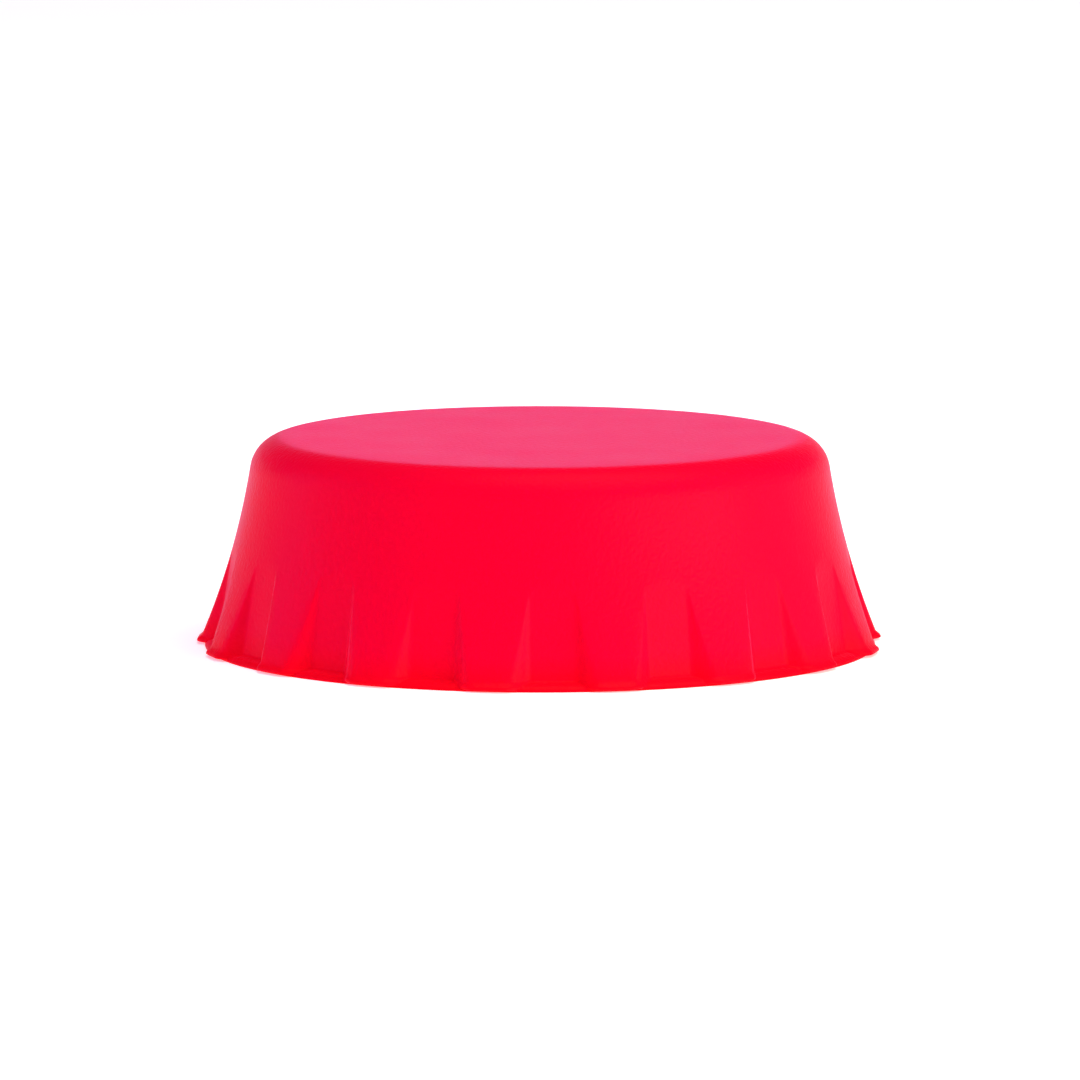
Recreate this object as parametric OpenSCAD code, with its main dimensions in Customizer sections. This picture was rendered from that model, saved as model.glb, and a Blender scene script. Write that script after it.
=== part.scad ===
// Push-on cap for a crown-finish bottle, moulded in one piece from soft silicone rubber.
// It stands on its hem with the open end down. The origin is the centre of the hem's
// underside, +Z points up through the flat top, and one flute faces -Y.

/* [Outside] */
// Height from the hem's underside to the flat top
cap_height = 10; // [9:0.1:14]
// Rounding between the flat top and the skirt
shoulder_radius = 1.65; // [0.8:0.05:2]
// How far the foot of the skirt stands out from its top, level with the shoulder's centre
flare_reach = 2.5; // [1.8:0.1:4]
// Radius of the skirt's hollow curve, seen in section
flare_radius = 36; // [28:1:80]

/* [Hem] */
// How far the thin lip stands out from the foot of the skirt
lip_reach = 0.15; // [0.05:0.05:0.4]
// Thickness of the lip
lip_thickness = 0.25; // [0.15:0.05:0.6]
// Height of the lip's underside above the rim that the cap stands on
lip_rise = 0.1; // [0.05:0.05:0.3]
// How far the rim lies in from the lip's edge on a ridge
rim_inset = 0.5; // [0.3:0.05:0.8]
// Thickness of the rim where it closes the foot of a flute
rim_thickness = 0.15; // [0.1:0.05:0.4]

/* [Flutes] */
// Number of flutes round the skirt
flute_count = 17; // [9:1:19]
// Width of a flute's flat floor
flute_floor_width = 2.2; // [1.4:0.1:2.8]
// Depth of a flute at the hem, below the foot of the skirt
flute_depth = 0.95; // [0.5:0.05:1.2]
// Height above the hem at which the flutes run out
flute_height = 4.9; // [3:0.1:6]
// Angle at which a flute's flanks rise from its floor
flank_angle = 40; // [35:1:60]
// Rounding where a flank meets the floor
flute_corner_radius = 0.5; // [0.3:0.1:1]

/* [Inside] */
// Diameter of the socket that closes round the bottle's crown ring; the whole cap follows it
socket_d = 26; // [20:0.1:40]
// Wall outside the socket, level with the centre of the shoulder's rounding
side_wall = 0.85; // [0.7:0.05:1.6]
// Thickness of the flat top
top_thickness = 1.6; // [1:0.1:2.2]
// Rounding in the corner between the socket's wall and its ceiling
socket_corner_radius = 0.6; // [0.2:0.1:1]
// How far the land that snaps in under the crown ring stands in from the socket's wall
land_bite = 0.5; // [0.3:0.05:1]
// Length of that land along the axis
land_length = 1; // [0.6:0.1:1.6]
// Length of the ramp from the land out to the socket
ramp_length = 0.8; // [0.4:0.1:1.4]
// How far the lead-in funnel opens out from the land to the hem
funnel_reach = 1.5; // [0.8:0.1:2]
// Height of the lead-in funnel, from the hem up to the land
funnel_height = 1.5; // [1:0.1:2]
// How far the crest of the sealing bead on the ceiling lies in from the socket's wall
bead_inset = 2; // [1.5:0.1:3.5]
// Radius of the half-round sealing bead
bead_radius = 0.5; // [0.3:0.05:0.8]

/* [Hidden] */
$fn = 144;
flare_steps = 12;  // straight steps that stand for the hollow curve, each under 0.003 mm off it
corner_steps = 6;  // and for each rounded corner
crease_steps = 3;  // and for the rounding along each side of a flute's floor
past = 1;          // how far a cut runs on past the face that it opens

socket_r = socket_d / 2;
land_r = socket_r - land_bite;
mouth_r = land_r + funnel_reach;
shoulder_r = socket_r + side_wall;
foot_r = shoulder_r + flare_reach;
hem_r = foot_r + lip_reach;
rim_r = hem_r - rim_inset;
shoulder_z = cap_height - shoulder_radius;
ceiling_z = cap_height - top_thickness;
land_top_z = funnel_height + land_length;

// The hollow curve runs through the foot of the skirt and a point level with the
// shoulder's centre. Its own centre lies outside the cap, square to the chord.
chord = [shoulder_r - foot_r, shoulder_z];
chord_rise = sqrt(flare_radius ^ 2 - (norm(chord) / 2) ^ 2);
flare_centre = [foot_r, 0] + chord / 2 + chord_rise * [chord.y, -chord.x] / norm(chord);

// The shoulder's circle touches the hollow curve from the other side.
shoulder_centre = [
    flare_centre.x - sqrt((flare_radius + shoulder_radius) ^ 2 - (flare_centre.y - shoulder_z) ^ 2),
    shoulder_z
];
to_flare = flare_centre - shoulder_centre;

// A flute's floor is a straight line, from the skirt's surface at the run-out
// down to its full depth at the hem.
run_out_r = flare_centre.x - sqrt(flare_radius ^ 2 - (flare_centre.y - flute_height) ^ 2);
floor_r = foot_r - flute_depth;
floor_tilt = atan2(floor_r - run_out_r, flute_height);

// Direction of a 2-D vector, from 0 to 360 degrees.
function heading(v) = (atan2(v.y, v.x) + 360) % 360;

// The points of an arc, with or without its starting point.
function arc(centre, radius, from, to, steps, with_start = false) = [
    for (i = [with_start ? 0 : 1 : steps])
        let (a = from + (to - from) * i / steps)
        centre + radius * [cos(a), sin(a)]
];

// Solid outline of the cap in section: underside, hollow curve, shoulder, flat top.
module outer_section() {
    foot = [foot_r, 0];
    touch = shoulder_centre + shoulder_radius * to_flare / norm(to_flare);
    polygon([
        [0, 0],
        foot,
        each arc(flare_centre, flare_radius,
                 heading(foot - flare_centre), heading(touch - flare_centre), flare_steps),
        each arc(shoulder_centre, shoulder_radius, heading(to_flare), 90, corner_steps),
        [0, cap_height]
    ]);
}

// The hollow inside: funnel, land, ramp and socket, with the sealing bead left standing.
module inner_section() {
    corner_centre = [socket_r - socket_corner_radius, ceiling_z - socket_corner_radius];
    difference() {
        polygon([
            [0, -past],
            [mouth_r, -past],
            [mouth_r, 0],
            [land_r, funnel_height],
            [land_r, land_top_z],
            [socket_r, land_top_z + ramp_length],
            [socket_r, ceiling_z - socket_corner_radius],
            each arc(corner_centre, socket_corner_radius, 0, 90, corner_steps),
            [0, ceiling_z]
        ]);
        translate([socket_r - bead_inset, ceiling_z])
            circle(r = bead_radius);
    }
}

// Repeats its children once per flute, starting at the front.
module round_the_skirt() {
    for (i = [0 : flute_count - 1])
        rotate([0, 0, i * 360 / flute_count - 90])
            children();
}

// A flute across: flat floor, rounded corners and flanks that spread outwards.
// With a margin, the outline lies that much inside the flute.
module flute_section(margin = 0) {
    reach = flute_depth + lip_reach + past;
    half = flute_floor_width / 2 - margin * tan(flank_angle / 2);
    spread = (reach - margin) / tan(flank_angle);
    centre = [
        margin + flute_corner_radius,
        half - flute_corner_radius * tan(flank_angle / 2)
    ];
    polygon([
        [reach, -half - spread],
        each arc([centre.x, -centre.y], flute_corner_radius,
                 180 + flank_angle, 180, crease_steps, with_start = true),
        each arc(centre, flute_corner_radius, 180, 180 - flank_angle, crease_steps, with_start = true),
        [reach, half + spread]
    ]);
}

// One flute, laid along the straight line of its floor.
module flute_cut() {
    translate([floor_r, 0, 0])
        rotate([0, -floor_tilt, 0])
            translate([0, 0, -past])
                linear_extrude(past + flute_height + past)
                    flute_section();
}

// Thin lip round the foot of the skirt. It follows the ridges and the flutes.
module hem_lip() {
    linear_extrude(lip_rise + lip_thickness)
        difference() {
            circle(r = hem_r);
            round_the_skirt()
                translate([floor_r, 0])
                    flute_section(lip_reach);
        }
}

// Plain round rim that the cap stands on. It closes the feet of the flutes.
module rim() {
    cylinder(r = rim_r, h = rim_thickness);
}

// The space below the lip, all round outside the rim.
module under_the_lip() {
    translate([0, 0, -past])
        difference() {
            cylinder(r = hem_r + past, h = past + lip_rise);
            cylinder(r = rim_r, h = past + lip_rise);
        }
}

module cap() {
    color([0.93, 0.02, 0.14])
        difference() {
            union() {
                difference() {
                    rotate_extrude()
                        outer_section();
                    round_the_skirt()
                        flute_cut();
                }
                hem_lip();
                rim();
            }
            under_the_lip();
            rotate_extrude()
                inner_section();
        }
}

cap();
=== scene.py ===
import math

import bpy
import numpy as np
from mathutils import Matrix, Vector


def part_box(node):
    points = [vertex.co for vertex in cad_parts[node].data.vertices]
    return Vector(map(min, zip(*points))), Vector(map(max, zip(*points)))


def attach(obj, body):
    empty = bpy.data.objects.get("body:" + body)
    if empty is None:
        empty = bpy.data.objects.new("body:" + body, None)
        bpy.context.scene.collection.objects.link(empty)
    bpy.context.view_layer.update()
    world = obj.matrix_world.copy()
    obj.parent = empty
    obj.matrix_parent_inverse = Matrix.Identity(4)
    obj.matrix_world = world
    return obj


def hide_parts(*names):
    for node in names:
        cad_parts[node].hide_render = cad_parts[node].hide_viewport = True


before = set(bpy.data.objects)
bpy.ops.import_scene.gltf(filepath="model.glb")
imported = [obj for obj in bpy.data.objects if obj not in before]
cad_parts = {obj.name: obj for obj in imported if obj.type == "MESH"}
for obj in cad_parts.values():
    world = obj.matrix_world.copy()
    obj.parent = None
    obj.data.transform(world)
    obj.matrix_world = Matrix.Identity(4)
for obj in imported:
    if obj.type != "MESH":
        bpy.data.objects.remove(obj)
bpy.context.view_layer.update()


# --- The cap: sizes and section ------------------------------------------------------
# One piece of soft red silicone rubber, compression moulded between a core, which
# makes the socket for the bottle's rim, and a ring that presses the flutes into the
# skirt. The ring and the base plate part at the hem and leave a thin lip there.

MM = 0.001

cap_low, cap_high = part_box("cap")
cap_height = cap_high[2] - cap_low[2]
hem_radius = (cap_high[0] - cap_low[0]) / 2

shoulder_rounding = 1.65 * MM
shoulder_level_radius = 13.85 * MM    # of the skirt, level with the shoulder's centre
flare_radius = 36 * MM                # of the skirt's hollow curve
lip_reach = 0.15 * MM
lip_rise = 0.1 * MM                   # of the lip's underside above the floor
rim_radius = 16 * MM                  # of the plain rim that the cap stands on

flute_count = 17
flute_floor_width = 2.2 * MM
flute_depth = 0.95 * MM
flute_height = 4.9 * MM
flank_angle = math.radians(40)        # of a flute's flanks to its flat floor
ridge_rounding = 0.4                  # of a ridge's edge, as a share of the flute's depth there
crease_softness = 0.12 * MM           # how far the crease along a flute's floor is filled in

mouth_radius = 14 * MM
land_radius = 12.5 * MM
socket_radius = 13 * MM
funnel_height = 1.5 * MM
land_height = 1.0 * MM
ramp_height = 0.8 * MM
ceiling_level = cap_height - 1.6 * MM
bead_circle_radius = 11 * MM
bead_radius = 0.5 * MM

foot_radius = hem_radius - lip_reach
shoulder_level = cap_height - shoulder_rounding

# The hollow curve passes through the skirt's foot and a point level with the shoulder.
chord = np.array([shoulder_level_radius - foot_radius, shoulder_level])
chord_length = np.linalg.norm(chord)
chord_rise = math.sqrt(flare_radius**2 - (chord_length / 2) ** 2)
flare_centre = (
    np.array([foot_radius, 0])
    + chord / 2
    + chord_rise * np.array([chord[1], -chord[0]]) / chord_length
)
shoulder_centre_radius = flare_centre[0] - math.sqrt(
    (flare_radius + shoulder_rounding) ** 2 - (flare_centre[1] - shoulder_level) ** 2
)
shoulder_start = math.atan2(flare_centre[1] - shoulder_level, flare_centre[0] - shoulder_centre_radius)
skirt_top = shoulder_level + shoulder_rounding * math.sin(shoulder_start)


def skirt_radius(level):
    """Radius of the plain skirt at a height above the hem."""
    return flare_centre[0] - np.sqrt(flare_radius**2 - (flare_centre[1] - level) ** 2)


def soft_min(a, b, softness):
    """The smaller of two radii, with the edge between them rounded off."""
    share = np.clip(0.5 + 0.5 * (b - a) / softness, 0, 1)
    return b * (1 - share) + a * share - softness * share * (1 - share)


# --- The cap: surface ----------------------------------------------------------------
# The skin is laid out in rings from the middle of the top, down the skirt, round the
# lip and up inside. Each ring of the skirt follows the plain skirt or, where they lie
# further in, the flat floor and the two flanks of a flute.

pitch = 2 * math.pi / flute_count
floor_foot_radius = foot_radius - flute_depth
floor_slope = (floor_foot_radius - skirt_radius(flute_height)) / flute_height
flank_run = 1 / (math.tan(flank_angle) * math.sqrt(1 + floor_slope**2))
least_flank = math.radians(0.6)       # that the columns leave between a crease and an edge
edge_spread = math.radians(1.4) / MM  # how fast the columns part above a flute
edge_search_steps = 30
least_ridge_rounding = 0.02 * MM      # where a flute runs out
crease_step = 0.03 * MM               # between the columns at a crease


def soft_max(a, b, softness):
    """The larger of two radii, with the crease between them filled in."""
    return -soft_min(-a, -b, softness)


def floor_radius(level):
    """Radius of the middle of a flute's floor, which is a straight line down to the hem."""
    return floor_foot_radius - floor_slope * level


def flute_radius(level, from_middle):
    """Radius at which a flute's floor or flank is met, by angle from its middle."""
    flat = floor_radius(level) / np.cos(from_middle)
    lean = flank_run * np.cos(from_middle) - np.sin(np.abs(from_middle))
    flank = (flank_run * floor_radius(level) - flute_floor_width / 2) / lean
    return soft_max(flat, flank, crease_softness)


def edge_angle(level):
    """Angle from a flute's middle to its edge, where a flank meets the plain skirt."""
    near = math.asin(flute_floor_width / 2 / skirt_radius(level))
    far = pitch / 2
    for _ in range(edge_search_steps):
        middle = (near + far) / 2
        if flute_radius(level, middle) < skirt_radius(level):
            near = middle
        else:
            far = middle
    return near + edge_spread * max(level - flute_height, 0)


def sector(level):
    """Angles from a flute's middle to the next ridge's middle, closest at creases and edges."""
    crease = math.asin(flute_floor_width / 2 / floor_radius(level))
    edge = max(edge_angle(level), crease + least_flank)
    step = crease_step / skirt_radius(level)
    gap = min(4 * step, (edge - crease) / 4)
    edge_gap = min(8 * step, (edge - crease) / 4)
    return np.concatenate([
        np.linspace(0, crease - 6 * step, 5),
        crease + step * np.array([-4, -2, 0]),
        np.linspace(crease + gap, edge - edge_gap, 6),
        edge + edge_gap * np.array([-0.6, -0.3, 0, 0.3, 0.6]),
        np.linspace(edge + edge_gap, pitch / 2, 4),
    ])


def columns_at(level):
    """Angles of all columns at a height: from their flute's middle, and round the cap."""
    half = sector(level)
    whole = np.concatenate([-half[:0:-1], half[:-1]])
    from_middle = np.tile(whole, flute_count)
    middle = np.repeat(pitch * np.arange(flute_count), len(whole))
    return from_middle, middle + from_middle - math.pi / 2


def fluted_radius(level):
    """Radius of the skirt all round at one height, flutes included."""
    from_middle, _ = columns_at(level)
    plain = skirt_radius(level)
    rounding = max(ridge_rounding * (plain - floor_radius(level)), least_ridge_rounding)
    return soft_min(plain, flute_radius(level, from_middle), rounding)


def arc(centre, radius, start, end, steps):
    """Points of an arc after its first one, as pairs of radius and height."""
    angles = start + (end - start) * np.arange(1, steps + 1) / steps
    return [(centre[0] + radius * math.cos(a), centre[1] + radius * math.sin(a)) for a in angles]


def rounded(corners, steps=4):
    """A section's line through corners of radius, height and rounding."""
    line = [corners[0][:2]]
    for before, corner, after in zip(corners, corners[1:], corners[2:]):
        here = np.array(corner[:2])
        back = np.array(before[:2]) - here
        ahead = np.array(after[:2]) - here
        back /= np.linalg.norm(back)
        ahead /= np.linalg.norm(ahead)
        half_angle = math.acos(np.clip(back @ ahead, -1, 1)) / 2
        run = corner[2] / math.tan(half_angle)
        for t in np.arange(steps + 1) / steps:
            start, end = here + run * back, here + run * ahead
            line.append(tuple((1 - t) ** 2 * start + 2 * t * (1 - t) * here + t**2 * end))
    return line + [corners[-1][:2]]


rings = []
_, hem_turn = columns_at(0)
columns = len(hem_turn)


def ring(radius, level, turn=hem_turn):
    """Adds one ring of points, at one radius or at a radius for each column."""
    level_all_round = np.full(columns, level)
    rings.append(np.column_stack([radius * np.cos(turn), radius * np.sin(turn), level_all_round]))


top_turn = columns_at(shoulder_level)[1]
for share in (0.1, 0.3, 0.55, 0.8, 0.95, 1.0):
    ring(share * shoulder_centre_radius, cap_height, top_turn)
shoulder_centre = (shoulder_centre_radius, shoulder_level)
for radius, level in arc(shoulder_centre, shoulder_rounding, math.pi / 2, shoulder_start, 10):
    ring(radius, level, top_turn)
run_out_level = flute_height + 0.6 * MM
lip_top_level = lip_rise + 0.5 * MM
for level in np.linspace(skirt_top, run_out_level, 10)[1:]:
    ring(skirt_radius(level), level, columns_at(level)[1])
for level in np.linspace(run_out_level, lip_top_level, 44)[1:]:
    ring(fluted_radius(level), level, columns_at(level)[1])

# The lip sweeps out to a thin edge. In a flute's foot it meets the plain rim, which
# stands out further there; on a ridge it overhangs the rim. Each line gives a height above
# the lip's underside, a share of its reach, and how far inside the rim's edge it may lie.
for rise, share, rim_inset in (
    (0.40 * MM, 0.04, 1.0 * MM),
    (0.32 * MM, 1 / 6, 1.0 * MM),
    (0.26 * MM, 0.4, 0.5 * MM),
    (0.21 * MM, 0.7, 0.3 * MM),
    (0.17 * MM, 0.92, 0.21 * MM),
    (0.13 * MM, 1.0, 0.15 * MM),
    (0.08 * MM, 0.973, 0.09 * MM),
    (0.04 * MM, 0.8, 0.05 * MM),
    (0.01 * MM, 0.4, 0.03 * MM),
):
    level = lip_rise + rise
    lip = fluted_radius(level) + share * lip_reach
    ring(np.maximum(lip, rim_radius - rim_inset), level, columns_at(level)[1])
for inset, level in ((0.03 * MM, 0.1 * MM), (0, 0.07 * MM), (0, 0.03 * MM), (0.03 * MM, 0)):
    ring(rim_radius - inset, level)
for share in (0.2, 0.5, 0.8):
    ring(rim_radius + share * (mouth_radius - rim_radius), 0)

inside = rounded([
    (mouth_radius + 0.3 * MM, 0, 0),
    (mouth_radius, 0, 0.12 * MM),
    (land_radius, funnel_height, 0.3 * MM),
    (land_radius, funnel_height + land_height, 0.3 * MM),
    (socket_radius, funnel_height + land_height + ramp_height, 0.3 * MM),
    (socket_radius, ceiling_level, 0.6 * MM),
    (bead_circle_radius + 1.1 * bead_radius, ceiling_level, 0),
])
for radius, level in inside:
    ring(radius, level)
for radius, level in arc((bead_circle_radius, ceiling_level), bead_radius, 0, -math.pi, 12):
    ring(radius, level)
for share in (0.9, 0.6, 0.3, 0.1):
    ring(share * (bead_circle_radius - bead_radius), ceiling_level)

vertices = [tuple(p) for points in rings for p in points]
faces = []
for upper in range(len(rings) - 1):
    for column in range(columns):
        beside = (column + 1) % columns
        faces.append((
            upper * columns + column,
            (upper + 1) * columns + column,
            (upper + 1) * columns + beside,
            upper * columns + beside,
        ))
last = (len(rings) - 1) * columns
vertices += [(0, 0, cap_height), (0, 0, ceiling_level)]
for column in range(columns):
    beside = (column + 1) % columns
    faces.append((column, beside, len(vertices) - 2))
    faces.append((last + beside, last + column, len(vertices) - 1))

cap_mesh = bpy.data.meshes.new("cap_skin")
cap_mesh.from_pydata(vertices, [], faces)
cap_mesh.polygons.foreach_set("use_smooth", [True] * len(faces))
cap = bpy.data.objects.new("cap_skin", cap_mesh)
bpy.context.collection.objects.link(cap)


# --- The cap: silicone ---------------------------------------------------------------
# Pigmented silicone with the dull skin of a blasted mould. It hardly shines face on and
# catches light at its edges. Towards the hem its red is painted warmer and brighter, a
# painted glow that stands in for light shining through the thin edge.

silicone = bpy.data.materials.new("matte_silicone")
silicone.use_nodes = True
nodes = silicone.node_tree.nodes
links = silicone.node_tree.links
shader = nodes["Principled BSDF"]
shader.inputs["IOR"].default_value = 1.41
shader.inputs["Specular IOR Level"].default_value = 0.018
shader.inputs["Sheen Weight"].default_value = 0.26
shader.inputs["Sheen Roughness"].default_value = 0.22
shader.inputs["Sheen Tint"].default_value = (1, 0.34, 1, 1)
shader.inputs["Subsurface Weight"].default_value = 0.08
shader.inputs["Subsurface Radius"].default_value = (1.0, 0.12, 0.1)
shader.inputs["Subsurface Scale"].default_value = 0.6 * MM

where = nodes.new("ShaderNodeTexCoord")


def noise(size, detail):
    """Noise whose lumps are about the given size across."""
    node = nodes.new("ShaderNodeTexNoise")
    node.inputs["Scale"].default_value = 1 / size
    node.inputs["Detail"].default_value = detail
    links.new(where.outputs["Object"], node.inputs["Vector"])
    return node.outputs["Fac"]


def remap(value, old_low, old_high, low, high):
    """A value spread from one range over another, and held at its ends."""
    node = nodes.new("ShaderNodeMapRange")
    node.inputs["From Min"].default_value = old_low
    node.inputs["From Max"].default_value = old_high
    node.inputs["To Min"].default_value = low
    node.inputs["To Max"].default_value = high
    links.new(value, node.inputs["Value"])
    return node.outputs["Result"]


def blend(factor, first, second):
    """A colour between two others, each given as a colour or as another node's output."""
    node = nodes.new("ShaderNodeMix")
    node.data_type = "RGBA"
    links.new(factor, node.inputs["Factor"])
    for socket, colour in (("A", first), ("B", second)):
        if isinstance(colour, tuple):
            node.inputs[socket].default_value = (*colour, 1)
        else:
            links.new(colour, node.inputs[socket])
    return node.outputs["Result"]


cloud_size = 5 * MM
grain_size = 0.2 * MM
cloud = noise(cloud_size, 3)
grain = noise(grain_size, 2)

place = nodes.new("ShaderNodeSeparateXYZ")
links.new(where.outputs["Object"], place.inputs["Vector"])
# Painted glow: below this height the red is painted warmer and brighter towards the hem, standing in
# for light shining through the thin edge.
painted_hem_glow_height = 1.6 * MM
body_red = blend(remap(cloud, 0.3, 0.7, 0, 1), (0.94, 0.0004, 0.0280), (0.96, 0.0004, 0.0264))
red = blend(remap(place.outputs["Z"], 0, painted_hem_glow_height, 0, 1), (0.98, 0.0006, 0.0105), body_red)
links.new(red, shader.inputs["Base Color"])
links.new(remap(cloud, 0.3, 0.7, 0.34, 0.4), shader.inputs["Roughness"])

blasted = nodes.new("ShaderNodeBump")
blasted.inputs["Strength"].default_value = 0.6
blasted.inputs["Distance"].default_value = 0.05 * MM
links.new(grain, blasted.inputs["Height"])
links.new(blasted.outputs["Normal"], shader.inputs["Normal"])

cap_mesh.materials.append(silicone)
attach(cap, "root")
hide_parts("cap")


# --- Floor -----------------------------------------------------------------------------
# A sheet of smooth matte white paper laid on a table, wide enough to run out of view
# on all sides. The cap stands loose on it. The sheet glows faintly, so that it stays
# an even white right up to the cap.

floor_half = 0.8
corners = [(-1, -1), (1, -1), (1, 1), (-1, 1)]
floor_mesh = bpy.data.meshes.new("floor")
floor_mesh.from_pydata([(floor_half * x, floor_half * y, 0) for x, y in corners], [], [(0, 1, 2, 3)])
floor = bpy.data.objects.new("floor", floor_mesh)
bpy.context.collection.objects.link(floor)
paper = bpy.data.materials.new("white_paper")
paper.use_nodes = True
paper_shader = paper.node_tree.nodes["Principled BSDF"]
paper_shader.inputs["Base Color"].default_value = (0.95, 0.95, 0.95, 1)
paper_shader.inputs["Roughness"].default_value = 0.9
paper_shader.inputs["Specular IOR Level"].default_value = 0.1
paper_shader.inputs["Emission Color"].default_value = (1, 1, 1, 1)
paper_shader.inputs["Emission Strength"].default_value = 0.42
floor_mesh.materials.append(paper)


# --- Light ------------------------------------------------------------------------------
# A studio with low white walls all round, faint light from above them and a broad softbox
# overhead. A wide low strip and a small box on the right are slightly warm. On the left, a
# small box in front and a stronger one behind are a cool violet.

world = bpy.data.worlds.new("studio")
bpy.context.scene.world = world
world.use_nodes = True
sky_nodes = world.node_tree.nodes
sky_links = world.node_tree.links
direction = sky_nodes.new("ShaderNodeTexCoord")
upward = sky_nodes.new("ShaderNodeSeparateXYZ")
sky_links.new(direction.outputs["Generated"], upward.inputs["Vector"])
wall_height = 0.06                    # both as the sine of the angle above the floor
wall_fade = 0.1
walls = sky_nodes.new("ShaderNodeMapRange")
walls.inputs["From Min"].default_value = wall_height
walls.inputs["From Max"].default_value = wall_height + wall_fade
walls.inputs["To Min"].default_value = 1.0
walls.inputs["To Max"].default_value = 0.05
sky_links.new(upward.outputs["Z"], walls.inputs["Value"])
sky_links.new(walls.outputs["Result"], sky_nodes["Background"].inputs["Strength"])
sky_nodes["Background"].inputs["Color"].default_value = (1, 1, 1, 1)


def softbox(name, turn, height, distance, width, power, colour=(1, 1, 1), depth=None):
    """An area light that faces the cap, placed by its turn to the right of the front and its
    height above the floor, both in degrees. It is square unless a depth is given."""
    turn, height = math.radians(turn), math.radians(height)
    lamp = bpy.data.lights.new(name, "AREA")
    lamp.shape = "RECTANGLE"
    lamp.size = width
    lamp.size_y = depth or width
    lamp.energy = power
    lamp.color = colour
    holder = bpy.data.objects.new(name, lamp)
    bpy.context.collection.objects.link(holder)
    flat = distance * math.cos(height)
    holder.location = (flat * math.sin(turn), -flat * math.cos(turn), distance * math.sin(height))
    holder.rotation_euler = (math.pi / 2 - height, 0, turn)


softbox("overhead_softbox", 60, 76, 0.8, 0.7, 5.6, (1, 1, 0.88))
softbox("right_strip", 54, 8.5, 1.0, 0.95, 8.6, (1, 1, 0.85), depth=0.28)
softbox("right_softbox", 95, 22, 1.0, 0.5, 1.2, (1, 1, 0.85))
softbox("left_softbox", -62, 15, 1.0, 0.45, 1.0, (0.38, 0.1, 1))
softbox("back_left_softbox", -105, 16, 1.0, 0.5, 5.2, (0.44, 0.19, 1))
bpy.context.scene.view_settings.view_transform = "Standard"


# --- Camera -----------------------------------------------------------------------------
# A long lens close to the cap, looking slightly down at the middle of its height, with
# one flute almost straight in front.

camera_elevation = math.radians(7.5)
camera_turn = math.radians(-2.2)      # round the cap from its front flute
camera_distance = 0.45
cap_share = 0.64                      # of the picture's width
picture_width = 2 * hem_radius / cap_share
lens = bpy.data.cameras.new("camera")
lens.sensor_width = 36
lens.lens = lens.sensor_width * camera_distance / picture_width
lens.clip_start = 0.01
lens.clip_end = 10
camera = bpy.data.objects.new("camera", lens)
bpy.context.collection.objects.link(camera)
camera.location = (
    camera_distance * math.cos(camera_elevation) * math.sin(camera_turn),
    -camera_distance * math.cos(camera_elevation) * math.cos(camera_turn),
    cap_height / 2 + camera_distance * math.sin(camera_elevation),
)
camera.rotation_euler = (math.pi / 2 - camera_elevation, 0, camera_turn)
bpy.context.scene.camera = camera
